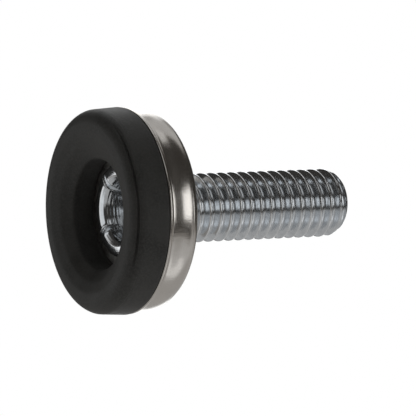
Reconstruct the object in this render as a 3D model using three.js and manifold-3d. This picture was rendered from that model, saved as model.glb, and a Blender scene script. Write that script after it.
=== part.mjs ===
// Furniture levelling foot: a 3/8"-16 threaded stem riveted through a pressed
// steel cup that holds a rubber sole, with a washer under the rivet head.
// Millimetres. z = 0 is the floor, +z runs up the stem, and the origin is the
// centre of the sole's floor face.
import * as THREE from 'three';
import { mergeVertices } from 'three/addons/utils/BufferGeometryUtils.js';
import Module from 'manifold-3d';

const wasm = await Module();
wasm.setup();

// ---- driving dimensions -------------------------------------------------

const OVERALL_HEIGHT = 39.0;

// Stem: 3/8"-16 UNC external thread
const INCH = 25.4;
const THREAD_PITCH = INCH / 16;
const THREAD_MAJOR_RADIUS = 4.74;
const THREAD_DEPTH = 0.93;
const THREAD_CREST_FLAT = THREAD_PITCH / 8;
const THREAD_ROOT_FLAT = THREAD_PITCH / 4;
const THREAD_PHASE = 0.64; // height of a crest on the +x side, within one pitch
const TIP_RADIUS = 3.2;
const TIP_CHAMFER_HEIGHT = 2.1;
const TIP_ROUNDING = 0.45;

// Collar between the thread and the cup
const COLLAR_RADIUS = 6.4;
const COLLAR_HEIGHT = 1.8;
const COLLAR_CHAMFER = 0.35;
const COLLAR_SEAT_DEPTH = 0.1; // how far riveting presses the collar into the cup
const COLLAR_SEAT_MARGIN = 0.15;
const NECK_RADIUS = 3.95;
const NECK_HEIGHT = 1.2;
const NECK_FOOT_RADIUS = 4.9; // the neck widens to this where it meets the collar
const SHANK_OVERLAP = 0.4; // how far the shank runs into the neck

// Tubular rivet end of the stem
const TENON_RADIUS = 4.3;
const BORE_RADIUS = 3.2;
const BORE_CYLINDER_TOP = 10.4;
const DRILL_POINT_ANGLE = 118; // degrees, included
const FUNNEL_TOP = 6.5;
const FUNNEL_BEND = 0.5; // how far the funnel's curve stays off a square corner
const RIVET_CREST_RADIUS = 4.75;
const RIVET_CREST_Z = 4.4;
const RIVET_RIM_RADIUS = 6.3;
const RIVET_RIM_Z = 4.8;

// Four staking notches lock the rivet head against turning
const STAKE_COUNT = 4;
const STAKE_ANGLE = 55; // degrees from +x to the first notch
const STAKE_INNER_RADIUS = 2.9;
const STAKE_OUTER_RADIUS = 6.8;
const STAKE_INNER_DEPTH_Z = 6.7;
const STAKE_OUTER_DEPTH_Z = 5.0;
const STAKE_WIDTH_PER_HEIGHT = 1.1;
const STAKE_MOUTH_Z = 3.9;

// Pressed steel cup, open side down
const CUP_RADIUS = 13.7;
const CUP_BACK_Z = 10.3;
const CUP_WALL = 1.0;
const CUP_CORNER_RADIUS = 1.9;
const CUP_RIM_Z = 5.2;
const CUP_RIM_RADIUS = 14.05;
const CUP_RIM_FLARE_HEIGHT = 1.0;
const CUP_RIM_ROUNDING = 0.4;

// Washer under the rivet head
const WASHER_Z = 4.95;
const WASHER_THICKNESS = 1.0;
const WASHER_RADIUS = 8.5;

// Rubber sole
const SOLE_RADIUS = 14.1; // at the shoulder, under the cup's rim
const SOLE_TOE_SIDE_RADIUS = 13.9; // where the toe's rounding meets the drafted side
const SOLE_TOE_RADIUS = 2.0; // rounding between the floor face and the side
const SOLE_SHOULDER_Z = 5.15;
const FLOOR_RING_RADIUS = 11.0; // inner edge of the flat ring that stands on the floor
const DISH_RADIUS = 9.3; // where the dished face meets the hole's chamfer
const DISH_Z = 0.6;
const HOLE_RADIUS = 7.5;
const HOLE_EDGE_Z = 1.8;

// Clearances
const BORE_CLEARANCE = 0.1; // round the tenon, in the cup and the washer
const RUBBER_CLEARANCE = 0.05; // between the rubber and the steel round it

// Facets round each turned shape; multiples of four keep the box square
const BASE_SEGMENTS = 56;
const STEM_SEGMENTS = 36;
const ARC_DIVISIONS = 2;

// ---- solids -------------------------------------------------------------

const MERGE_DISTANCE = 1e-4;

// A closed three.js geometry as a manifold-3d solid
function solidFrom(geometry) {
  const bare = geometry.clone();
  bare.deleteAttribute('normal');
  bare.deleteAttribute('uv');
  const merged = mergeVertices(bare, MERGE_DISTANCE);
  const index = merged.index.array;
  const triangles = [];
  for (let i = 0; i < index.length; i += 3) {
    const [a, b, c] = index.slice(i, i + 3);
    if (a !== b && b !== c && c !== a) triangles.push(a, b, c);
  }
  const mesh = new wasm.Mesh({
    numProp: 3,
    vertProperties: merged.attributes.position.array,
    triVerts: new Uint32Array(triangles),
  });
  return new wasm.Manifold(mesh);
}

// A manifold-3d solid as a three.js geometry
function geometryFrom(solid) {
  const { vertProperties, triVerts } = solid.getMesh();
  const geometry = new THREE.BufferGeometry();
  geometry.setAttribute('position', new THREE.BufferAttribute(vertProperties, 3));
  geometry.setIndex(new THREE.BufferAttribute(triVerts, 1));
  const flat = geometry.toNonIndexed();
  flat.computeVertexNormals();
  return flat;
}

// Turn a profile about the z axis. Its points are (radius, height), and it runs
// anticlockwise: outwards below, up the outside, inwards above.
function revolve(profile, segments) {
  const geometry = new THREE.LatheGeometry(profile.getPoints(ARC_DIVISIONS), segments);
  geometry.rotateX(Math.PI / 2);
  return solidFrom(geometry);
}

const degrees = THREE.MathUtils.degToRad;

// ---- threaded stem ------------------------------------------------------

// One helical thread from bottom to top, closed by a fan at each end.
// Each turn has four rows of vertices: two edges of the crest, two of the root.
function threadBlank(bottom, top) {
  const flank = (THREAD_PITCH - THREAD_CREST_FLAT - THREAD_ROOT_FLAT) / 2;
  const crest = THREAD_MAJOR_RADIUS;
  const root = THREAD_MAJOR_RADIUS - THREAD_DEPTH;
  const rows = [
    { rise: -THREAD_CREST_FLAT / 2, radius: crest },
    { rise: THREAD_CREST_FLAT / 2, radius: crest },
    { rise: THREAD_CREST_FLAT / 2 + flank, radius: root },
    { rise: THREAD_CREST_FLAT / 2 + flank + THREAD_ROOT_FLAT, radius: root },
  ];
  const firstTurn = Math.floor((bottom - THREAD_PHASE) / THREAD_PITCH) - 1;
  const turns = Math.ceil((top - bottom) / THREAD_PITCH) + 3;
  const rowCount = turns * rows.length;

  const positions = [];
  for (let i = 0; i <= rowCount; i++) {
    const { rise, radius } = rows[i % rows.length];
    const turn = firstTurn + Math.floor(i / rows.length);
    for (let j = 0; j < STEM_SEGMENTS; j++) {
      const share = j / STEM_SEGMENTS;
      const angle = 2 * Math.PI * share;
      const z = THREAD_PHASE + rise + THREAD_PITCH * (turn + share);
      positions.push(radius * Math.cos(angle), radius * Math.sin(angle), z);
    }
  }
  // After one full turn a row meets the same row one pitch higher
  const vertex = (i, j) => (j === STEM_SEGMENTS
    ? (i + rows.length) * STEM_SEGMENTS
    : i * STEM_SEGMENTS + j);

  const lastRow = rowCount - rows.length;
  const triangles = [];
  for (let i = 0; i < lastRow; i++) {
    for (let j = 0; j < STEM_SEGMENTS; j++) {
      const a = vertex(i, j);
      const b = vertex(i, j + 1);
      const c = vertex(i + 1, j + 1);
      const d = vertex(i + 1, j);
      triangles.push(a, b, c, a, c, d);
    }
  }
  // Each end is bounded by one turn of its row and the step up one pitch
  const endLoop = (row) => {
    const loop = [];
    for (let j = 0; j < STEM_SEGMENTS; j++) loop.push(vertex(row, j));
    for (let i = row + rows.length; i > row; i--) loop.push(vertex(i, 0));
    return loop;
  };
  const closeEnd = (row, facesUp) => {
    const centre = positions.length / 3;
    positions.push(0, 0, positions[vertex(row, 0) * 3 + 2] + THREAD_PITCH / 2);
    const loop = endLoop(row);
    loop.forEach((from, k) => {
      const to = loop[(k + 1) % loop.length];
      if (facesUp) triangles.push(centre, from, to);
      else triangles.push(centre, to, from);
    });
  };
  closeEnd(0, false);
  closeEnd(lastRow, true);

  const geometry = new THREE.BufferGeometry();
  geometry.setAttribute('position', new THREE.Float32BufferAttribute(positions, 3));
  geometry.setIndex(triangles);
  return solidFrom(geometry);
}

// The thread between a run-out cone at the neck and the rounded tip
function threadedShank(neckTop) {
  const startZ = neckTop - SHANK_OVERLAP;
  const startRadius = NECK_RADIUS - SHANK_OVERLAP;
  const outside = THREAD_MAJOR_RADIUS + SHANK_OVERLAP; // clear of the crests
  const chamferZ = OVERALL_HEIGHT - TIP_CHAMFER_HEIGHT;
  const envelope = new THREE.Path();
  envelope.moveTo(0, startZ);
  envelope.lineTo(startRadius, startZ);
  envelope.lineTo(outside, startZ + outside - startRadius);
  envelope.lineTo(outside, chamferZ - SHANK_OVERLAP);
  envelope.lineTo(THREAD_MAJOR_RADIUS, chamferZ);
  envelope.quadraticCurveTo(
    THREAD_MAJOR_RADIUS - TIP_ROUNDING,
    OVERALL_HEIGHT - TIP_ROUNDING,
    TIP_RADIUS,
    OVERALL_HEIGHT,
  );
  envelope.lineTo(0, OVERALL_HEIGHT);
  const blank = threadBlank(neckTop - THREAD_PITCH, OVERALL_HEIGHT + THREAD_PITCH);
  return blank.intersect(revolve(envelope, STEM_SEGMENTS));
}

// Neck, collar, tubular tenon and flared rivet head, as one turned core
function stemCore(neckTop) {
  const collarSeat = CUP_BACK_Z - COLLAR_SEAT_DEPTH;
  const collarTop = CUP_BACK_Z + COLLAR_HEIGHT;
  const pointHeight = BORE_RADIUS / Math.tan(degrees(DRILL_POINT_ANGLE / 2));
  const core = new THREE.Path();
  core.moveTo(0, BORE_CYLINDER_TOP + pointHeight);
  core.lineTo(BORE_RADIUS, BORE_CYLINDER_TOP);
  core.lineTo(BORE_RADIUS, FUNNEL_TOP);
  core.quadraticCurveTo(
    BORE_RADIUS + FUNNEL_BEND,
    RIVET_CREST_Z + FUNNEL_BEND,
    RIVET_CREST_RADIUS,
    RIVET_CREST_Z,
  );
  core.quadraticCurveTo(RIVET_RIM_RADIUS, RIVET_CREST_Z, RIVET_RIM_RADIUS, RIVET_RIM_Z);
  core.lineTo(RIVET_RIM_RADIUS, WASHER_Z);
  core.lineTo(TENON_RADIUS, WASHER_Z);
  core.lineTo(TENON_RADIUS, collarSeat);
  core.lineTo(COLLAR_RADIUS, collarSeat);
  core.lineTo(COLLAR_RADIUS, collarTop - COLLAR_CHAMFER);
  core.lineTo(COLLAR_RADIUS - COLLAR_CHAMFER, collarTop);
  core.lineTo(NECK_FOOT_RADIUS, collarTop);
  core.lineTo(NECK_RADIUS, collarTop + NECK_FOOT_RADIUS - NECK_RADIUS);
  core.lineTo(NECK_RADIUS, neckTop + SHANK_OVERLAP);
  core.lineTo(0, neckTop + SHANK_OVERLAP);
  return revolve(core, STEM_SEGMENTS);
}

// A V-shaped wedge that lies along a radius, point up, for one staking notch
function stakingWedge(angle) {
  const section = (radius, depthZ) => {
    const halfWidth = (depthZ - STAKE_MOUTH_Z) * STAKE_WIDTH_PER_HEIGHT / 2;
    return [
      [radius, -halfWidth, STAKE_MOUTH_Z],
      [radius, halfWidth, STAKE_MOUTH_Z],
      [radius, 0, depthZ],
    ];
  };
  const corners = [
    ...section(STAKE_INNER_RADIUS, STAKE_INNER_DEPTH_Z),
    ...section(STAKE_OUTER_RADIUS, STAKE_OUTER_DEPTH_Z),
  ];
  const faces = [
    0, 2, 1, 3, 4, 5, // inner and outer ends
    0, 1, 4, 0, 4, 3, // open mouth
    1, 2, 5, 1, 5, 4, // left flank
    2, 0, 3, 2, 3, 5, // right flank
  ];
  const geometry = new THREE.BufferGeometry();
  geometry.setAttribute('position', new THREE.Float32BufferAttribute(corners.flat(), 3));
  geometry.setIndex(faces);
  geometry.rotateZ(angle);
  return solidFrom(geometry);
}

function threadedStem() {
  const neckTop = CUP_BACK_Z + COLLAR_HEIGHT + NECK_HEIGHT;
  let stem = stemCore(neckTop).add(threadedShank(neckTop));
  for (let k = 0; k < STAKE_COUNT; k++) {
    const angle = degrees(STAKE_ANGLE + k * 360 / STAKE_COUNT);
    stem = stem.subtract(stakingWedge(angle));
  }
  return stem;
}

// ---- cup ----------------------------------------------------------------

// A flat-backed cup with a hole for the tenon, a coined seat for the collar and a
// rim that flares outwards
function cupShell() {
  const inside = CUP_RADIUS - CUP_WALL;
  const floor = CUP_BACK_Z - CUP_WALL;
  const hole = TENON_RADIUS + BORE_CLEARANCE;
  const seat = CUP_BACK_Z - COLLAR_SEAT_DEPTH;
  const seatRadius = COLLAR_RADIUS + COLLAR_SEAT_MARGIN;
  const cornerRadius = CUP_RADIUS - CUP_CORNER_RADIUS;
  const cornerZ = CUP_BACK_Z - CUP_CORNER_RADIUS;
  const flareTop = CUP_RIM_Z + CUP_RIM_FLARE_HEIGHT;
  const flare = CUP_RIM_RADIUS - CUP_RADIUS;
  const rimCorner = CUP_RIM_RADIUS - CUP_RIM_ROUNDING;
  const cup = new THREE.Path();
  cup.moveTo(hole, floor);
  cup.lineTo(cornerRadius, floor);
  cup.absarc(cornerRadius, cornerZ, CUP_CORNER_RADIUS - CUP_WALL, degrees(90), 0, true);
  cup.lineTo(inside, flareTop);
  cup.lineTo(inside + flare, CUP_RIM_Z);
  cup.lineTo(rimCorner, CUP_RIM_Z);
  cup.absarc(rimCorner, CUP_RIM_Z + CUP_RIM_ROUNDING, CUP_RIM_ROUNDING, degrees(-90), 0, false);
  cup.lineTo(CUP_RADIUS, flareTop);
  cup.absarc(cornerRadius, cornerZ, CUP_CORNER_RADIUS, 0, degrees(90), false);
  cup.lineTo(seatRadius, CUP_BACK_Z);
  cup.lineTo(seatRadius, seat);
  cup.lineTo(hole, seat);
  cup.lineTo(hole, floor);
  return revolve(cup, BASE_SEGMENTS);
}

// ---- washer -------------------------------------------------------------

function retainingWasher() {
  const hole = TENON_RADIUS + BORE_CLEARANCE;
  const top = WASHER_Z + WASHER_THICKNESS;
  const washer = new THREE.Path();
  washer.moveTo(hole, WASHER_Z);
  washer.lineTo(WASHER_RADIUS, WASHER_Z);
  washer.lineTo(WASHER_RADIUS, top);
  washer.lineTo(hole, top);
  washer.lineTo(hole, WASHER_Z);
  return revolve(washer, BASE_SEGMENTS);
}

// ---- rubber sole --------------------------------------------------------

// A ring that stands on the floor on its outer part and is dished towards its hole,
// with a plug that fills the cup and a web between the washer and the cup
function rubberSole() {
  const toeR = SOLE_TOE_SIDE_RADIUS - SOLE_TOE_RADIUS;
  const plugRadius = CUP_RADIUS - CUP_WALL - RUBBER_CLEARANCE;
  const plugTop = CUP_BACK_Z - CUP_WALL;
  const plugCorner = CUP_CORNER_RADIUS - CUP_WALL;
  const flareTop = CUP_RIM_Z + CUP_RIM_FLARE_HEIGHT;
  const flareGap = (CUP_RIM_RADIUS - CUP_RADIUS) / CUP_RIM_FLARE_HEIGHT * (flareTop - SOLE_SHOULDER_Z);
  const webHole = TENON_RADIUS + BORE_CLEARANCE;
  const washerTop = WASHER_Z + WASHER_THICKNESS;
  const pocketRadius = WASHER_RADIUS + RUBBER_CLEARANCE;
  const sole = new THREE.Path();
  sole.moveTo(FLOOR_RING_RADIUS, 0);
  sole.lineTo(toeR, 0);
  sole.absarc(toeR, SOLE_TOE_RADIUS, SOLE_TOE_RADIUS, degrees(-90), 0, false);
  sole.lineTo(SOLE_RADIUS, SOLE_SHOULDER_Z);
  sole.lineTo(plugRadius + flareGap, SOLE_SHOULDER_Z);
  sole.lineTo(plugRadius, flareTop);
  sole.lineTo(plugRadius, plugTop - plugCorner);
  sole.lineTo(plugRadius - plugCorner, plugTop);
  sole.lineTo(webHole, plugTop);
  sole.lineTo(webHole, washerTop);
  sole.lineTo(pocketRadius, washerTop);
  sole.lineTo(pocketRadius, WASHER_Z);
  sole.lineTo(HOLE_RADIUS, WASHER_Z);
  sole.lineTo(HOLE_RADIUS, HOLE_EDGE_Z);
  sole.lineTo(DISH_RADIUS, DISH_Z);
  sole.lineTo(FLOOR_RING_RADIUS, 0);
  return revolve(sole, BASE_SEGMENTS);
}

// ---- materials and assembly ---------------------------------------------

const ZINC_PLATE = { color: 0xb4bac0, metalness: 1, roughness: 0.32 };
const NICKEL_PLATE = { color: 0xb9b2aa, metalness: 1, roughness: 0.25 };
const PLAIN_STEEL = { color: 0x9a9a98, metalness: 1, roughness: 0.4 };
const BLACK_RUBBER = { color: 0x222221, metalness: 0, roughness: 0.75 };

function piece(name, solid, finish) {
  const mesh = new THREE.Mesh(geometryFrom(solid), new THREE.MeshStandardMaterial(finish));
  mesh.name = name;
  return mesh;
}

const foot = new THREE.Group();
foot.name = 'leveling_foot';
foot.add(
  piece('threaded_stem', threadedStem(), ZINC_PLATE),
  piece('cup_shell', cupShell(), NICKEL_PLATE),
  piece('retaining_washer', retainingWasher(), PLAIN_STEEL),
  piece('rubber_sole', rubberSole(), BLACK_RUBBER),
);

export default foot;
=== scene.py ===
import math

import bpy
import numpy as np
from mathutils import Matrix, Vector


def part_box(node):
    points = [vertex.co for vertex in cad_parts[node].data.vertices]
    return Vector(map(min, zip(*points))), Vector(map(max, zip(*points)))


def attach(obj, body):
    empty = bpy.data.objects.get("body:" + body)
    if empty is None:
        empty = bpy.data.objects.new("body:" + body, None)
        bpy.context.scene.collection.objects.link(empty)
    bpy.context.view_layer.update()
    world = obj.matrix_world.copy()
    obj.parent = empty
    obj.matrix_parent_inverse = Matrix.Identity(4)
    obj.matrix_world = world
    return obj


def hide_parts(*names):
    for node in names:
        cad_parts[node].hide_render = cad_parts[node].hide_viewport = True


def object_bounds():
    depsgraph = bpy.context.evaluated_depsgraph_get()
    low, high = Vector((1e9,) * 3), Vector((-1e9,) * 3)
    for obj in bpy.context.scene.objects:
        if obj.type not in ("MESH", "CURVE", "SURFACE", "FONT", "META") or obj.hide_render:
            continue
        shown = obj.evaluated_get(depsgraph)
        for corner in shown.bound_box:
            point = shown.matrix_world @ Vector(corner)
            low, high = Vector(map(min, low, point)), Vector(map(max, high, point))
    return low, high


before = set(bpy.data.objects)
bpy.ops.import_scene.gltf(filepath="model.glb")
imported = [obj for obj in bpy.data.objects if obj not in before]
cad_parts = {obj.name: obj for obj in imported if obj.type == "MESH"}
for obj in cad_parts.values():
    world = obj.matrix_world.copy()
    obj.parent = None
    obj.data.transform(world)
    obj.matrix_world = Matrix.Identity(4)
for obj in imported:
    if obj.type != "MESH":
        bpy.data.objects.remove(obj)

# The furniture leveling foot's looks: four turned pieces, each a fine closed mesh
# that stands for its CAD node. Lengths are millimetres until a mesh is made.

MM = 0.001
BODY = "root"
cad_low, cad_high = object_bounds()


def turned_size(node):
    """Outer radius, lowest and highest z of a CAD node, in millimetres."""
    low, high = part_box(node)
    return high[0] / MM, low[2] / MM, high[2] / MM


SOLE_RADIUS, FLOOR_Z, SOLE_TOP = turned_size("rubber_sole")
CUP_RIM_RADIUS, CUP_RIM_Z, CUP_BACK_Z = turned_size("cup_shell")
WASHER_RADIUS, WASHER_Z, WASHER_TOP = turned_size("retaining_washer")
COLLAR_RADIUS, CREST_Z, TIP_Z = turned_size("threaded_stem")

# ---- profiles -----------------------------------------------------------

CURVE_STEP = 0.12  # spacing of points along a rounded stretch
LINE_STEP = 0.8  # longest straight stretch between two points
EDGE = 0.1  # rounding of a turned or pressed edge
TIGHT = 0.05  # rounding of a sharp one
CREASE = math.radians(50)  # faces that meet at more than this are shaded apart


def curve(start, control, end, count):
    """Points of a quadratic curve, as plain corners."""
    t = np.linspace(0, 1, count)[:, None]
    p, c, q = (np.array(v, float) for v in (start, control, end))
    points = (1 - t) ** 2 * p + 2 * t * (1 - t) * c + t**2 * q
    return [tuple(point) for point in points]


def arc(centre, radius, start, end, count):
    """Points of an arc, from one angle to another in degrees, as plain corners."""
    turn = np.radians(np.linspace(start, end, count))
    return [(centre[0] + radius * math.cos(a), centre[1] + radius * math.sin(a)) for a in turn]


def fillet(before, corner, after, radius):
    """Points of the arc that rounds a corner."""
    a, b = before - corner, after - corner
    la, lb = np.linalg.norm(a), np.linalg.norm(b)
    a, b = a / la, b / lb
    half = math.acos(np.clip(a @ b, -1, 1)) / 2
    reach = min(radius / math.tan(half), 0.49 * la, 0.49 * lb)
    radius = reach * math.tan(half)
    middle = (a + b) / np.linalg.norm(a + b)
    centre = corner + middle * radius / math.sin(half)
    first = corner + a * reach - centre
    last = corner + b * reach - centre
    turn = math.pi - 2 * half
    count = max(3, math.ceil(radius * turn / CURVE_STEP))
    points = []
    for i in range(count + 1):
        share = turn * i / count
        points.append(centre + (first * math.sin(turn - share) + last * math.sin(share)) / math.sin(turn))
    return points


def profile(corners, closed, step=LINE_STEP):
    """Outline of (radius, z) through corners, each (r, z) or (r, z, rounding)."""
    at = [np.array(c[:2], float) for c in corners]
    n = len(at)
    points = []
    for i, corner in enumerate(corners):
        inner = closed or 0 < i < n - 1
        if len(corner) == 3 and inner:
            points += fillet(at[i - 1], at[i], at[(i + 1) % n], corner[2])
        else:
            points.append(at[i])
    if closed:
        points.append(points[0])
    fine = [points[0]]
    for p, q in zip(points, points[1:]):
        parts = max(1, math.ceil(np.linalg.norm(q - p) / step))
        fine += [p + (q - p) * k / parts for k in range(1, parts + 1)]
    if closed:
        fine.pop()
    return np.array(fine)


# ---- turned meshes ------------------------------------------------------


def even_angles(segments):
    """Angles round a turned piece, in radians."""
    return np.arange(segments) * 2 * np.pi / segments


def turned(name, outline, angles, shape=None):
    """A closed skin: the outline turned about z, each point moved by shape(r, z, angle, row).
    An outline that starts and ends on the axis gets a single point there."""
    rows, segments = len(outline), len(angles)
    r, z = (np.repeat(outline[:, k : k + 1], segments, axis=1) for k in (0, 1))
    turn = np.repeat(angles[None, :], rows, axis=0)
    if shape:
        r, z = shape(r, z, turn, np.arange(rows)[:, None])
    points = np.stack([r * np.cos(turn), r * np.sin(turn), z], axis=-1)
    on_axis = outline[0, 0] < 1e-6
    if on_axis:
        rings = points[1:-1]
        verts = np.concatenate([points[0, :1], rings.reshape(-1, 3), points[-1, :1]])
        first, count, wraps = 1, rows - 2, rows - 3
    else:
        verts = points.reshape(-1, 3)
        first, count, wraps = 0, rows, rows
    faces = []
    ahead = np.roll(np.arange(segments), -1)
    for i in range(wraps):
        low, high = first + i * segments, first + (i + 1) % count * segments
        for j, k in enumerate(ahead):
            faces.append((low + j, low + k, high + k, high + j))
    if on_axis:
        last = len(verts) - 1
        end = first + (count - 1) * segments
        for j, k in enumerate(ahead):
            faces.append((0, first + k, first + j))
            faces.append((last, end + j, end + k))
    mesh = bpy.data.meshes.new(name)
    mesh.from_pydata((verts * MM).tolist(), [], faces)
    mesh.validate()
    mesh.shade_smooth()
    mesh.set_sharp_from_angle(angle=CREASE)
    piece = bpy.data.objects.new(name, mesh)
    bpy.context.scene.collection.objects.link(piece)
    return piece


def ripple(angle, seed, waves=(2, 3, 5, 7)):
    """A smooth unevenness round a turned piece, about -1 to 1, the same every run."""
    draw = np.random.default_rng(seed)
    total = np.zeros_like(angle)
    for count in waves:
        total += np.sin(count * angle + draw.uniform(0, 2 * np.pi)) * draw.uniform(0.5, 1.0)
    return total / len(waves)


def bell(distance, width):
    """1 at no distance, falling smoothly to nothing within about two widths."""
    return np.exp(-((distance / width) ** 2))


# ---- threaded stem ------------------------------------------------------

THREAD_PITCH = 25.4 / 16
THREAD_RADIUS = 4.74
THREAD_DEPTH = 0.93
THREAD_PHASE = 0.64  # z of a crest at angle 0
THREAD_BEND = 0.06  # rounding of crest and root
CREST_HALF_WIDTH = THREAD_PITCH / 16
FLANK_SLOPE = math.tan(math.radians(60))
THREAD_ROWS = 24  # rows of points in one pitch

TIP_RADIUS = 3.2
TIP_ROUNDING = 2.1  # how far down the thread the tip's rounding reaches
TIP_BEND = 0.45  # how far the rounding stays off a square corner
COLLAR_SEAT_Z = CUP_BACK_Z - 0.1
COLLAR_TOP = CUP_BACK_Z + 1.8
NECK_RADIUS = 3.95
NECK_FOOT_RADIUS = 4.9
NECK_TOP = COLLAR_TOP + 1.2

TENON_RADIUS = 4.3
BORE_RADIUS = 2.98
BORE_END = 10.4
DRILL_POINT = 1.92
FUNNEL_TOP = 6.5
MOUTH_RADIUS = 3.17  # of the bore's mouth, at the funnel's top
MOUTH_TOP = 7.2  # the bore narrows from the funnel up to here
CREST_RADIUS = 4.85
BRINK_RADIUS = 4.05  # where the flared crest's shallow inner face meets the funnel
BRINK_Z = CREST_Z + 0.3
FUNNEL_BEND = (0.3, 0.15)  # how far inwards and up from the brink the funnel's curve aims
RING_SPACING = 0.62  # of the turned rings in the funnel, along z and radius together
RING_HEIGHT = 0.01
RIM_RADIUS = 6.3
RIM_Z = 4.8
FLARE_TOP = RIM_Z + 0.2  # below it, the widest row is the rim

STAKE_COUNT = 4
STAKE_ANGLE = math.radians(55)
STAKE_CROWDING = 0.6  # how much closer together the points are at a notch, 0 to 1
STAKE_FLOOR = ((2.9, 4.4, 6.8), (6.5, 5.6, 4.95))  # radius and z of the notch's line
STAKE_HALF_WIDTH = 0.4  # of the notch, for each millimetre of its depth
STAKE_WEB = 0.1  # steel left under a notch
NO_NOTCH = -1e3  # z that stands for no notch at all
PILE_HEIGHT = 0.1  # of the steel that the punch pushes up beside a notch
PILE_ASIDE = 0.3  # its middle, measured down the notch's flank
PILE_WIDTH = 0.6 / math.sqrt(3)
PILE_RADIUS = 5.0  # it is highest this far from the axis
PILE_LENGTH = 1.0
HEAD_REACH = 1.5  # how far above the washer the rivet head's shape may change
RIM_WIDTH = 0.35  # of the flared rim that is uneven
RIM_UNEVENNESS = 0.07
STEM_SEGMENTS = 240


def soft_clip(x, low, high, blend):
    """x held between low and high, with rounded bends."""
    x = low + 0.5 * (x - low + np.sqrt((x - low) ** 2 + blend**2))
    return high - 0.5 * (high - x + np.sqrt((high - x) ** 2 + blend**2))


def thread_radius(z, angle):
    """Right-hand thread with rounded crest and root."""
    turns = (z - THREAD_PHASE) / THREAD_PITCH - angle / (2 * np.pi)
    from_crest = np.abs(turns - np.round(turns)) * THREAD_PITCH
    depth = soft_clip((from_crest - CREST_HALF_WIDTH) * FLANK_SLOPE, 0, THREAD_DEPTH, THREAD_BEND)
    return THREAD_RADIUS - depth


def stake_depth(r, angle):
    """Height of the punched V over a point: its line, less its flank."""
    deepest = np.full(r.shape, NO_NOTCH)
    for k in range(STAKE_COUNT):
        off = angle - STAKE_ANGLE - k * 2 * np.pi / STAKE_COUNT
        off = (off + np.pi) % (2 * np.pi) - np.pi
        aside = np.abs(r * np.sin(off))
        floor = np.interp(r, *STAKE_FLOOR)
        ahead = np.cos(off) > 0
        deepest = np.where(ahead, np.maximum(deepest, floor - aside / STAKE_HALF_WIDTH), deepest)
    return deepest


def staked_angles():
    """Angles round the stem, closer together at the staking notches."""
    share = STEM_SEGMENTS // STAKE_COUNT
    u = np.arange(share) / share
    apart = 2 * np.pi / STAKE_COUNT
    one = (u - 0.5 + STAKE_CROWDING * np.sin(2 * np.pi * u) / (2 * np.pi)) * apart
    return np.concatenate([STAKE_ANGLE + one + k * apart for k in range(STAKE_COUNT)])


def build_stem():
    row_step = THREAD_PITCH / THREAD_ROWS
    tip_bend = (THREAD_RADIUS - TIP_BEND, TIP_Z - TIP_BEND)
    tip_end = (THREAD_RADIUS, TIP_Z - TIP_ROUNDING)
    thread_zone = profile(
        [
            *curve((TIP_RADIUS, TIP_Z), tip_bend, tip_end, count=24),
            (THREAD_RADIUS, NECK_TOP + THREAD_RADIUS - NECK_RADIUS),
            (NECK_RADIUS, NECK_TOP),
        ],
        closed=False,
        step=row_step,
    )
    crest = (CREST_RADIUS, CREST_Z)
    brink = (BRINK_RADIUS, BRINK_Z)
    bend = (BRINK_RADIUS - FUNNEL_BEND[0], BRINK_Z + FUNNEL_BEND[1])
    head = [
        (NECK_RADIUS, COLLAR_TOP + NECK_FOOT_RADIUS - NECK_RADIUS, 0.3),
        (NECK_FOOT_RADIUS, COLLAR_TOP, EDGE),
        (COLLAR_RADIUS, COLLAR_TOP, 0.35),
        (COLLAR_RADIUS, COLLAR_SEAT_Z, EDGE),
        (TENON_RADIUS, COLLAR_SEAT_Z, EDGE),
        (TENON_RADIUS, WASHER_Z, TIGHT),
        (RIM_RADIUS, WASHER_Z, TIGHT),
        *curve((RIM_RADIUS, RIM_Z), (RIM_RADIUS, CREST_Z), crest, count=20),
        *curve(brink, bend, (MOUTH_RADIUS, FUNNEL_TOP), count=50),
        (BORE_RADIUS, MOUTH_TOP, 0.4),
        (BORE_RADIUS, BORE_END, EDGE),
        (0, BORE_END + DRILL_POINT),
    ]
    lower = profile([tuple(thread_zone[-1]), *head], closed=False, step=0.35)
    outline = np.concatenate([[(0.0, TIP_Z), (TIP_RADIUS / 2, TIP_Z)], thread_zone, lower[1:]])
    threaded = outline[:, 1] > NECK_TOP - 1e-6
    flared_rows = np.flatnonzero(outline[:, 1] < FLARE_TOP)
    rim_row = flared_rows[np.argmax(outline[flared_rows, 0])]

    def shape(r, z, angle, row):
        cut = np.minimum(r, thread_radius(z, angle))
        r = np.where(threaded[row], cut, r)
        punched = stake_depth(r, angle)
        upper = row > rim_row
        near_head = z < WASHER_TOP + HEAD_REACH
        beside = bell(punched - z + PILE_ASIDE, PILE_WIDTH)
        pile = PILE_HEIGHT * beside * bell(r - PILE_RADIUS, PILE_LENGTH)
        z = np.where(upper & near_head, np.maximum(z - pile, punched), z)
        z = np.where(~upper & near_head, np.maximum(z, punched + STAKE_WEB), z)
        funnel = upper & (r < BRINK_RADIUS) & (z < FUNNEL_TOP)
        r = r + RING_HEIGHT * np.sin(2 * np.pi * (z - r) / RING_SPACING) * funnel
        edge = bell(r - RIM_RADIUS, RIM_WIDTH) * (near_head & upper)
        r = r + edge * RIM_UNEVENNESS * ripple(angle, 3, (3, 8, 13, 21))
        return r, np.maximum(z, CREST_Z)

    def shape_reversed(r, z, angle, row):
        return shape(r, z, angle, len(outline) - 1 - row)

    # the outline runs down the outside, so it is reversed to make its faces point outwards
    return turned("stem", outline[::-1], staked_angles(), shape_reversed)


# ---- cup, washer and sole -----------------------------------------------

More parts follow.
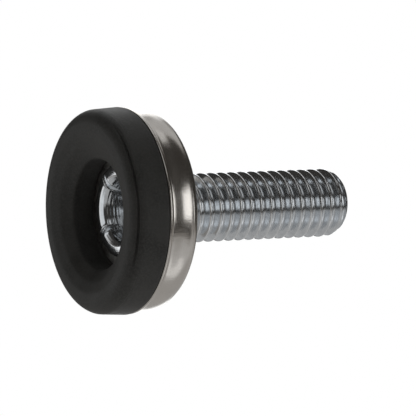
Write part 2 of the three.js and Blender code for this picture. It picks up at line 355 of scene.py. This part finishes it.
CUP_RADIUS = 13.7
CUP_WALL = 1.0
CUP_CORNER = 2.0  # reach of the rounding on the back face
CUP_CROWN = 3.2  # reach of the same rounding down the wall
CUP_BARREL = 0.1  # how far the wall leans inwards at the rim
BARREL_TOP = CUP_BACK_Z - 2.0
BARREL_REACH = 2.1
SEAT_RADIUS = COLLAR_RADIUS + 0.15  # of the seat pressed into the back by the collar
WALL_BAND = 0.3  # what is within this of the cup's or sole's side counts as the side
SIDE_WAVINESS = 0.02  # of the cup's wall and of the sole's side
RIM_FLARE_HEIGHT = 0.65
RIM_THICKNESS = 0.3
PLUG_CORNER = 0.9  # rounding of the rubber plug and of the cup's inside
BORE_CLEARANCE = 0.1
BASE_SEGMENTS = 256


def build_cup():
    inside = CUP_RADIUS - CUP_WALL
    floor = CUP_BACK_Z - CUP_WALL
    hole = TENON_RADIUS + BORE_CLEARANCE
    flare = CUP_RIM_RADIUS - CUP_RADIUS
    flare_top = CUP_RIM_Z + RIM_FLARE_HEIGHT
    outline = profile(
        [
            (hole, floor, EDGE),
            (inside, floor, PLUG_CORNER),
            (inside, flare_top, 0.3),
            (inside + flare, CUP_RIM_Z, EDGE),
            (CUP_RIM_RADIUS, CUP_RIM_Z, 0.2),
            (CUP_RIM_RADIUS, CUP_RIM_Z + RIM_THICKNESS, 0.2),
            (CUP_RADIUS, flare_top, 0.6),
            *curve(
                (CUP_RADIUS, CUP_BACK_Z - CUP_CROWN),
                (CUP_RADIUS, CUP_BACK_Z),
                (CUP_RADIUS - CUP_CORNER, CUP_BACK_Z),
                count=40,
            ),
            (SEAT_RADIUS, CUP_BACK_Z, 0.08),
            (SEAT_RADIUS, COLLAR_SEAT_Z, 0.04),
            (hole, COLLAR_SEAT_Z, EDGE),
        ],
        closed=True,
        step=0.5,
    )

    def shape(r, z, angle, row):
        wall = r > CUP_RADIUS - WALL_BAND
        below_crown = z < CUP_BACK_Z - CUP_WALL
        r = r - wall * SIDE_WAVINESS * (1 + ripple(angle, 11)) * below_crown
        barrel = np.clip((BARREL_TOP - z) / BARREL_REACH, 0, 1) ** 2
        off_rim = 1 - np.clip((r - CUP_RADIUS) / flare, 0, 1)
        r = r - CUP_BARREL * barrel * off_rim * wall
        return r, z

    return turned("cup", outline, even_angles(BASE_SEGMENTS), shape)


DENT_CLEARANCE = 0.04  # between a notch's steel and the dent that it makes in the washer
WASHER_WEB = 0.1  # steel left above a dent


def build_washer():
    hole = TENON_RADIUS + BORE_CLEARANCE
    outline = profile(
        [
            (hole, WASHER_Z, 0.15),
            (WASHER_RADIUS, WASHER_Z, 0.2),
            (WASHER_RADIUS, WASHER_TOP, EDGE),
            (hole, WASHER_TOP, EDGE),
        ],
        closed=True,
        step=0.15,
    )

    def shape(r, z, angle, row):
        dent = stake_depth(r, angle) + STAKE_WEB + DENT_CLEARANCE
        deepest = WASHER_TOP - WASHER_WEB
        face = z < (WASHER_Z + WASHER_TOP) / 2
        return r, np.where(face, np.minimum(np.maximum(z, dent), deepest), z)

    return turned("washer", outline, staked_angles(), shape)


TOE_SIDE_RADIUS = 13.9
TOE_ROUNDING = 2.0
TOE_TOP = 2.5  # no parting line above here
SIDE_BOTTOM = 1.5  # no waviness below here
SHOULDER_Z = 5.15
FLOOR_RING_RADIUS = 11.0
DISH_RADIUS = 9.3
DISH_Z = 0.6
HOLE_RADIUS = 7.5
HOLE_EDGE_Z = 1.8
HOLE_TOP = WASHER_Z - 0.2  # nothing is moved above here, where the washer lies
HOLE_OFFSET = 0.35  # the hole is this far off the axis, towards +Y
HOLE_WAVINESS = 0.05
MOUTH_WIDTH = 1.6  # the offset and waviness fade over this distance from the hole
PARTING_Z = 0.72
PARTING_DEPTH = 0.42
PARTING_WIDTH = 0.16
PARTING_WANDER = 0.05
PARTING_SHARE = 0.8  # of its depth that the line has on average
PARTING_BREAKS = 0.3  # and how much that comes and goes
FLASH_HEIGHT = 0.04  # of the low ridge beside the parting line
FLASH_WIDTH = 0.25
FLASH_ASIDE = 0.42
PARTING_SIDE = math.radians(-10)  # the side on which the parting line is deepest
PARTING_REACH = (0.64, 0.88)  # cosine of the angle from that side where it starts and is full
RUBBER_CLEARANCE = 0.05


def build_sole():
    plug = CUP_RADIUS - CUP_WALL - RUBBER_CLEARANCE
    flare_top = CUP_RIM_Z + RIM_FLARE_HEIGHT
    flare_gap = CUP_RIM_RADIUS - CUP_RADIUS
    pocket = WASHER_RADIUS + RUBBER_CLEARANCE
    web_hole = TENON_RADIUS + BORE_CLEARANCE
    toe_r = TOE_SIDE_RADIUS - TOE_ROUNDING
    outline = profile(
        [
            (HOLE_RADIUS, HOLE_EDGE_Z, 0.5),
            (DISH_RADIUS, DISH_Z, 2.5),
            (FLOOR_RING_RADIUS, FLOOR_Z, 2.0),
            *arc((toe_r, TOE_ROUNDING), TOE_ROUNDING, -90, 0, count=80),
            (SOLE_RADIUS, SHOULDER_Z, 0.25),
            (plug + flare_gap, SHOULDER_Z, TIGHT),
            (plug, flare_top, 0.3),
            (plug, SOLE_TOP, PLUG_CORNER + 0.1),
            (web_hole, SOLE_TOP, TIGHT),
            (web_hole, WASHER_TOP, TIGHT),
            (pocket, WASHER_TOP, TIGHT),
            (pocket, WASHER_Z, TIGHT),
            (HOLE_RADIUS, WASHER_Z, TIGHT),
        ],
        closed=True,
        step=0.3,
    )
    line_angle = math.asin((TOE_ROUNDING - PARTING_Z) / TOE_ROUNDING)

    def shape(r, z, angle, row):
        around = np.arctan2(TOE_ROUNDING - z, r - toe_r) - line_angle
        aside = around * TOE_ROUNDING + PARTING_WANDER * ripple(angle, 15, (3, 7, 11))
        on_toe = (r > toe_r) & (z < TOE_TOP)
        reached = np.interp(np.cos(angle - PARTING_SIDE), PARTING_REACH, (0, 1))
        broken = reached * (PARTING_SHARE + PARTING_BREAKS * ripple(angle, 5, (5, 9, 14, 23)))
        groove = PARTING_DEPTH * bell(aside, PARTING_WIDTH)
        flash = FLASH_HEIGHT * bell(aside + FLASH_ASIDE, FLASH_WIDTH)
        inwards = (groove - flash) * broken * on_toe
        r = r - inwards * np.cos(line_angle)
        z = z + inwards * np.sin(line_angle)
        side = (r > TOE_SIDE_RADIUS - WALL_BAND) & (z > SIDE_BOTTOM)
        r = r - SIDE_WAVINESS * (1 + ripple(angle, 21)) * side
        mouth = bell(r - HOLE_RADIUS, MOUTH_WIDTH) * (z < HOLE_TOP)
        r = r + mouth * (HOLE_WAVINESS * ripple(angle, 8) + HOLE_OFFSET * np.sin(angle))
        return r, np.maximum(z, FLOOR_Z)

    return turned("sole", outline, even_angles(BASE_SEGMENTS), shape)


# ---- materials ----------------------------------------------------------


class Nodes:
    """Short calls for building a material's node tree."""

    def __init__(self, name):
        self.material = bpy.data.materials.new(name)
        self.material.use_nodes = True
        self.tree = self.material.node_tree
        self.shader = self.tree.nodes["Principled BSDF"]
        self.place = self.add("ShaderNodeTexCoord").outputs["Object"]

    def add(self, kind, **settings):
        node = self.tree.nodes.new(kind)
        for key, value in settings.items():
            setattr(node, key, value)
        return node

    def link(self, source, target):
        self.tree.links.new(source, target)

    def feed(self, node, values):
        for key, value in values.items():
            if isinstance(value, bpy.types.NodeSocket):
                self.link(value, node.inputs[key])
            else:
                node.inputs[key].default_value = value

    def noise(self, scale, detail=3.0, rough=0.55, place=None):
        """Noise of a given count of cells in one millimetre."""
        node = self.add("ShaderNodeTexNoise")
        self.feed(node, {"Vector": place or self.place, "Scale": scale / MM})
        self.feed(node, {"Detail": detail, "Roughness": rough})
        return node.outputs["Fac"]

    def cells(self, scale):
        """Distance to the nearest of scattered points, of a given count in one millimetre."""
        node = self.add("ShaderNodeTexVoronoi")
        self.feed(node, {"Vector": self.place, "Scale": scale / MM})
        return node.outputs["Distance"]

    def ramp(self, source, low, high, out_low=0.0, out_high=1.0):
        """A value between low and high, stretched to lie between out_low and out_high."""
        node = self.add("ShaderNodeMapRange")
        values = {"Value": source, "From Min": low, "From Max": high, "To Min": out_low, "To Max": out_high}
        self.feed(node, values)
        return node.outputs["Result"]

    def math(self, operation, a, b=0.0):
        node = self.add("ShaderNodeMath", operation=operation)
        self.feed(node, {0: a, 1: b})
        return node.outputs[0]

    def mix(self, factor, a, b):
        """A colour between a and b."""
        node = self.add("ShaderNodeMix", data_type="RGBA")
        self.link(factor, node.inputs["Factor"])
        for key, value in (("A", a), ("B", b)):
            socket = next(s for s in node.inputs if s.name == key and s.type == "RGBA")
            if isinstance(value, bpy.types.NodeSocket):
                self.link(value, socket)
            else:
                socket.default_value = (*value, 1)
        return next(s for s in node.outputs if s.type == "RGBA")

    def scaled(self, x, y, z):
        """The place with each axis stretched, for streaks."""
        node = self.add("ShaderNodeMapping")
        self.feed(node, {"Vector": self.place, "Scale": (x, y, z)})
        return node.outputs["Vector"]

    def radius(self):
        """Distance from the stem's axis, and z, in metres."""
        apart = self.add("ShaderNodeSeparateXYZ")
        self.link(self.place, apart.inputs[0])
        x_squared = self.math("POWER", apart.outputs["X"], 2.0)
        y_squared = self.math("POWER", apart.outputs["Y"], 2.0)
        return self.math("SQRT", self.math("ADD", x_squared, y_squared)), apart.outputs["Z"]

    def rings(self, spacing, radius, z, z_share=0.0):
        """Fine turned lines, -1 to 1, spacing millimetres apart."""
        along = self.math("ADD", radius, self.math("MULTIPLY", z, z_share))
        return self.math("SINE", self.math("MULTIPLY", along, 2 * math.pi / (spacing * MM)))

    def bump(self, height, distance, strength, below=None):
        """Normal of a relief, distance millimetres high, on top of the relief below it."""
        node = self.add("ShaderNodeBump")
        self.feed(node, {"Height": height, "Distance": distance * MM, "Strength": strength})
        if below is not None:
            self.link(below, node.inputs["Normal"])
        return node.outputs["Normal"]


# Colours, dark to pale: linear red, green and blue
RUBBER_DARK = (0.024, 0.0235, 0.0215)
RUBBER_PALE = (0.044, 0.0432, 0.0402)
RUBBER_FADED = (0.056, 0.055, 0.052)
RUBBER_GRAIN = (0.066, 0.065, 0.06)
RUBBER_DUST = (0.13, 0.13, 0.12)
NICKEL_DARK = (0.60, 0.57, 0.535)
NICKEL_PALE = (0.68, 0.645, 0.605)
ZINC_PIT = (0.33, 0.34, 0.35)
ZINC_DARK = (0.66, 0.69, 0.72)
ZINC_PALE = (0.77, 0.795, 0.82)
ZINC_WORN = (0.86, 0.87, 0.88)  # on the thread's crests
WORN_DEPTHS = (0.12, 0.01)  # below a crest, where its wear starts and where it is full
STEEL_DARK = (0.27, 0.265, 0.25)
STEEL_PALE = (0.45, 0.44, 0.42)


def rubber_material():
    m = Nodes("black_rubber")
    mottle = m.noise(0.35, 4)
    grain = m.noise(9.0, 3)
    specks = m.ramp(m.cells(1.6), 0.10, 0.05)
    dusty = m.math("MULTIPLY", specks, m.ramp(m.noise(0.8), 0.5, 0.7))
    tone = m.mix(m.ramp(mottle, 0.35, 0.65), RUBBER_DARK, RUBBER_PALE)
    faded = m.mix(m.ramp(m.noise(0.13, 2), 0.5, 0.68, 0.0, 0.6), tone, RUBBER_FADED)
    grained = m.mix(m.ramp(m.noise(3.5, 2), 0.4, 0.68, 0.0, 0.5), faded, RUBBER_GRAIN)
    colour = m.mix(m.math("MULTIPLY", dusty, 0.5), grained, RUBBER_DUST)
    rough = m.ramp(m.math("ADD", mottle, m.math("MULTIPLY", grain, 0.4)), 0.4, 1.0, 0.5, 0.68)
    pores = m.bump(grain, 0.02, 0.35)
    normal = m.bump(mottle, 0.12, 0.3, below=pores)
    m.feed(m.shader, {"Base Color": colour, "Roughness": rough, "Normal": normal})
    m.feed(m.shader, {"Specular IOR Level": 0.4, "Sheen Weight": 0.05, "Sheen Roughness": 0.4})
    return m.material


def nickel_material():
    m = Nodes("nickel_plate")
    drawn = m.noise(2.5, 2, place=m.scaled(1, 1, 0.25))
    wavy = m.noise(0.25, 2)
    orange = m.noise(6.0, 3)
    colour = m.mix(m.ramp(wavy, 0.3, 0.7), NICKEL_DARK, NICKEL_PALE)
    rough = m.ramp(orange, 0.3, 0.75, 0.15, 0.27)
    fine = m.bump(orange, 0.004, 0.5)
    lines = m.bump(drawn, 0.02, 0.35, below=fine)
    normal = m.bump(wavy, 0.15, 0.35, below=lines)
    m.feed(m.shader, {"Base Color": colour, "Metallic": 1.0, "Roughness": rough, "Normal": normal})
    return m.material


def zinc_material():
    m = Nodes("zinc_plate")
    radius, z = m.radius()
    cloud = m.noise(0.7, 4)
    grit = m.noise(12.0, 3)
    pits = m.ramp(m.noise(3.5, 2), 0.62, 0.74)
    tone = m.mix(m.ramp(cloud, 0.3, 0.7), ZINC_DARK, ZINC_PALE)
    unworn, bare = ((THREAD_RADIUS - depth) * MM for depth in WORN_DEPTHS)
    crest = m.ramp(radius, unworn, bare)
    worn = m.mix(m.math("MULTIPLY", crest, 0.7), tone, ZINC_WORN)
    colour = m.mix(m.math("MULTIPLY", pits, 0.35), worn, ZINC_PIT)
    rough = m.ramp(grit, 0.3, 0.75, 0.11, 0.22)
    fine = m.bump(grit, 0.004, 0.3)
    turned_lines = m.bump(m.rings(0.28, radius, z, 0.8), 0.004, 0.3, below=fine)
    normal = m.bump(cloud, 0.06, 0.2, below=turned_lines)
    m.feed(m.shader, {"Base Color": colour, "Metallic": 1.0, "Roughness": rough, "Normal": normal})
    return m.material


def steel_material():
    m = Nodes("plain_steel")
    film = m.noise(1.2, 4)
    grit = m.noise(8.0, 3)
    colour = m.mix(m.ramp(film, 0.35, 0.65), STEEL_DARK, STEEL_PALE)
    rough = m.ramp(film, 0.3, 0.7, 0.35, 0.55)
    normal = m.bump(grit, 0.02, 0.6)
    m.feed(m.shader, {"Base Color": colour, "Metallic": 1.0, "Roughness": rough, "Normal": normal})
    return m.material


# ---- pieces -------------------------------------------------------------

PIECES = (
    (build_stem, zinc_material, "threaded_stem", "zinc_plate"),
    (build_cup, nickel_material, "cup_shell", "nickel_plate"),
    (build_washer, steel_material, "retaining_washer", "plain_steel"),
    (build_sole, rubber_material, "rubber_sole", "black_rubber"),
)

for build, finish, node, slot in PIECES:
    piece = build()
    piece.data.materials.append(finish())
    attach(piece, BODY)
    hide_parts(node)

# ---- camera -------------------------------------------------------------

STEM_TO_SIGHT = math.radians(61.0)  # between the stem and the line of sight
STEM_LIFT = math.radians(2.35)  # how far the stem's tip points above level in the view
AIM_Z = 18.63 * MM  # the point of the stem's axis at the view's centre
CAMERA_DISTANCE = 0.529
LENS_MM = 334.4
SENSOR_MM = 36.0
CENTRING_SHIFT = 0.0016

stem_in_view = Vector(
    (
        math.sin(STEM_TO_SIGHT) * math.cos(STEM_LIFT),
        math.sin(STEM_TO_SIGHT) * math.sin(STEM_LIFT),
        -math.cos(STEM_TO_SIGHT),
    )
)
x_in_view = stem_in_view.cross(Vector((0, 1, 0))).normalized()
y_in_view = stem_in_view.cross(x_in_view)
camera_turn = Matrix((x_in_view, y_in_view, stem_in_view))

camera = bpy.data.objects.new("camera", bpy.data.cameras.new("camera"))
bpy.context.scene.collection.objects.link(camera)
camera.data.lens = LENS_MM
camera.data.sensor_width = SENSOR_MM
camera.data.shift_y = -CENTRING_SHIFT
camera.data.clip_start = 0.01
camera.location = Vector((0, 0, AIM_Z)) + camera_turn @ Vector((0, 0, CAMERA_DISTANCE))
camera.rotation_mode = "QUATERNION"
camera.rotation_quaternion = camera_turn.to_quaternion()
bpy.context.scene.camera = camera

# ---- floor and light ----------------------------------------------------

FLOOR_SIZE = 3.0
FLOOR_GAP = 0.0001  # between the sole and the floor
FLOOR_COLOUR = (0.86, 0.86, 0.86)
FLOOR_MOTTLE = 0.97  # how much darker its blotches are
FLOOR_GLOW = 0.3


def build_floor():
    """A pale floor just under the sole. It shows from above only, because the scene's
    camera stands below it, and it neither shades nor lights the foot. A little light of
    its own keeps it pale."""
    half = FLOOR_SIZE / 2
    z = cad_low[2] - FLOOR_GAP
    mesh = bpy.data.meshes.new("floor")
    corners = [(-half, -half, z), (half, -half, z), (half, half, z), (-half, half, z)]
    mesh.from_pydata(corners, [], [(0, 1, 2, 3)])
    floor = bpy.data.objects.new("floor", mesh)
    bpy.context.scene.collection.objects.link(floor)
    m = Nodes("pale_floor")
    blotch = tuple(v * FLOOR_MOTTLE for v in FLOOR_COLOUR)
    tone = m.mix(m.ramp(m.noise(0.02, 3), 0.3, 0.7), FLOOR_COLOUR, blotch)
    m.feed(m.shader, {"Base Color": tone, "Roughness": 0.9})
    m.feed(m.shader, {"Emission Color": tone, "Emission Strength": FLOOR_GLOW})
    clear = m.add("ShaderNodeBsdfTransparent")
    either = m.add("ShaderNodeMixShader")
    m.link(m.add("ShaderNodeNewGeometry").outputs["Backfacing"], either.inputs["Fac"])
    m.link(m.shader.outputs["BSDF"], either.inputs[1])
    m.link(clear.outputs["BSDF"], either.inputs[2])
    m.link(either.outputs["Shader"], m.tree.nodes["Material Output"].inputs["Surface"])
    mesh.materials.append(m.material)
    floor.visible_shadow = False
    floor.visible_diffuse = False
    floor.visible_glossy = False


def direction(turn, height):
    """Unit vector in the studio, whose up is -Y, because the foot lies on its side in
    it. Turn is from +X towards +Z and height is towards -Y, in degrees."""
    a, h = math.radians(turn), math.radians(height)
    return Vector((math.cos(a) * math.cos(h), -math.sin(h), math.sin(a) * math.cos(h)))


# What stands round the foot: turn from and to, height from and to, softness of the
# edges, all in degrees as above, and brightness
STUDIO_BASE = 0.04
SHADE_TINT = (1.0, 0.93, 0.85, 1)  # of the dark room
LIGHT_TINT = (0.985, 0.995, 1.0, 1)  # of the lights
LIGHT_LEVEL = 0.6  # what is at least this bright has the lights' tint
STUDIO_CARDS = (
    (140, 165, -24, 38, 6, 1.5),  # white sweep behind the foot
    (97, 144, 30, 64, 6, 0.5),  # grey card overhead, towards the back
    (66, 150, 66, 86, 5, 1.0),  # gap in the dark ceiling
    (150, 190, 32, 66, 6, 1.7),  # the sweep's upper part
    (-60, 15, 32, 74, 6, 0.5),  # large soft light overhead, towards the camera
    (-180, 180, -90, -26, 5, 0.36),  # table top
    (-180, -60, -27, -11, 4, 0.36),  # more of it on the side that the sole faces
    (62, 140, -27, -11, 4, 0.34),  # and at the back
    (30, 80, -70, -28, 6, 0.12),  # paler part of it near the camera
    (44, 74, -67, -46, 4, 0.4),  # where the softbox lights it most
    (28, 60, -10, 18, 4, 1.35),  # diffusing sheet in front of the softbox
    (-140, -98, -14, 18, 5, 0.68),  # strip of window on the side that the sole faces
    (-162, -144, -7, 7, 4, 1.2),  # and a small bright pane of it
    (-20, 4, -14, 14, 5, 0.5),  # small pale card next to the camera
)


def build_world():
    world = bpy.data.worlds.new("studio")
    world.use_nodes = True
    bpy.context.scene.world = world
    nodes, links = world.node_tree.nodes, world.node_tree.links

    def number(operation, a, b=None):
        node = nodes.new("ShaderNodeMath")
        node.operation = operation
        for socket, value in zip(node.inputs, (a, b)):
            if isinstance(value, bpy.types.NodeSocket):
                links.new(value, socket)
            elif value is not None:
                socket.default_value = value
        return node.outputs[0]

    def step(value, low, high):
        node = nodes.new("ShaderNodeMapRange")
        node.interpolation_type = "SMOOTHSTEP"
        links.new(value, node.inputs["Value"])
        node.inputs["From Min"].default_value = low
        node.inputs["From Max"].default_value = high
        return node.outputs["Result"]

    def within(value, low, high, soft):
        """1 between low and high, 0 outside, over a soft edge."""
        return number("MULTIPLY", step(value, low - soft, low + soft), step(value, high + soft, high - soft))

    seen = nodes.new("ShaderNodeSeparateXYZ")
    links.new(nodes.new("ShaderNodeTexCoord").outputs["Generated"], seen.inputs[0])
    turn = number("MULTIPLY", number("ARCTAN2", seen.outputs["Z"], seen.outputs["X"]), math.degrees(1))
    height = number("MULTIPLY", number("ARCSINE", seen.outputs["Y"]), -math.degrees(1))
    total = STUDIO_BASE
    for left, right, low, high, soft, brightness in STUDIO_CARDS:
        card = within(height, low, high, soft)
        if right - left < 360:
            card = number("MULTIPLY", card, within(turn, left, right, soft))
        total = number("ADD", number("MULTIPLY", card, brightness), total)
    lit = nodes["Background"]
    links.new(total, lit.inputs["Strength"])
    tint = nodes.new("ShaderNodeMix")
    tint.data_type = "RGBA"
    links.new(step(total, STUDIO_BASE, LIGHT_LEVEL), tint.inputs["Factor"])
    ends = [socket for socket in tint.inputs if socket.type == "RGBA"]
    ends[0].default_value = SHADE_TINT
    ends[1].default_value = LIGHT_TINT
    links.new(next(socket for socket in tint.outputs if socket.type == "RGBA"), lit.inputs["Color"])
    backdrop = nodes.new("ShaderNodeBackground")
    backdrop.inputs["Color"].default_value = (1, 1, 1, 1)
    either = nodes.new("ShaderNodeMixShader")
    links.new(nodes.new("ShaderNodeLightPath").outputs["Is Camera Ray"], either.inputs["Fac"])
    links.new(lit.outputs["Background"], either.inputs[1])
    links.new(backdrop.outputs["Background"], either.inputs[2])
    links.new(either.outputs["Shader"], nodes["World Output"].inputs["Surface"])


def build_softbox(name, turn, height, distance, width, tall, brightness):
    """A rectangular softbox that faces the foot, of a given brightness. Its place is given
    in degrees, as for direction, and its distance and size in metres."""
    data = bpy.data.lights.new(name, "AREA")
    data.shape = "RECTANGLE"
    data.size = width
    data.size_y = tall
    data.energy = brightness * math.pi * width * tall
    lamp = bpy.data.objects.new(name, data)
    toward = direction(turn, height)
    centre = (cad_low + cad_high) / 2
    lamp.location = centre + toward * distance
    lamp.rotation_mode = "QUATERNION"
    lamp.rotation_quaternion = toward.to_track_quat("Z", "Y")
    bpy.context.scene.collection.objects.link(lamp)


build_floor()
build_world()
build_softbox("softbox", turn=46, height=4, distance=0.6, width=0.24, tall=0.2, brightness=0.1)
bpy.context.scene.view_settings.view_transform = "Standard"
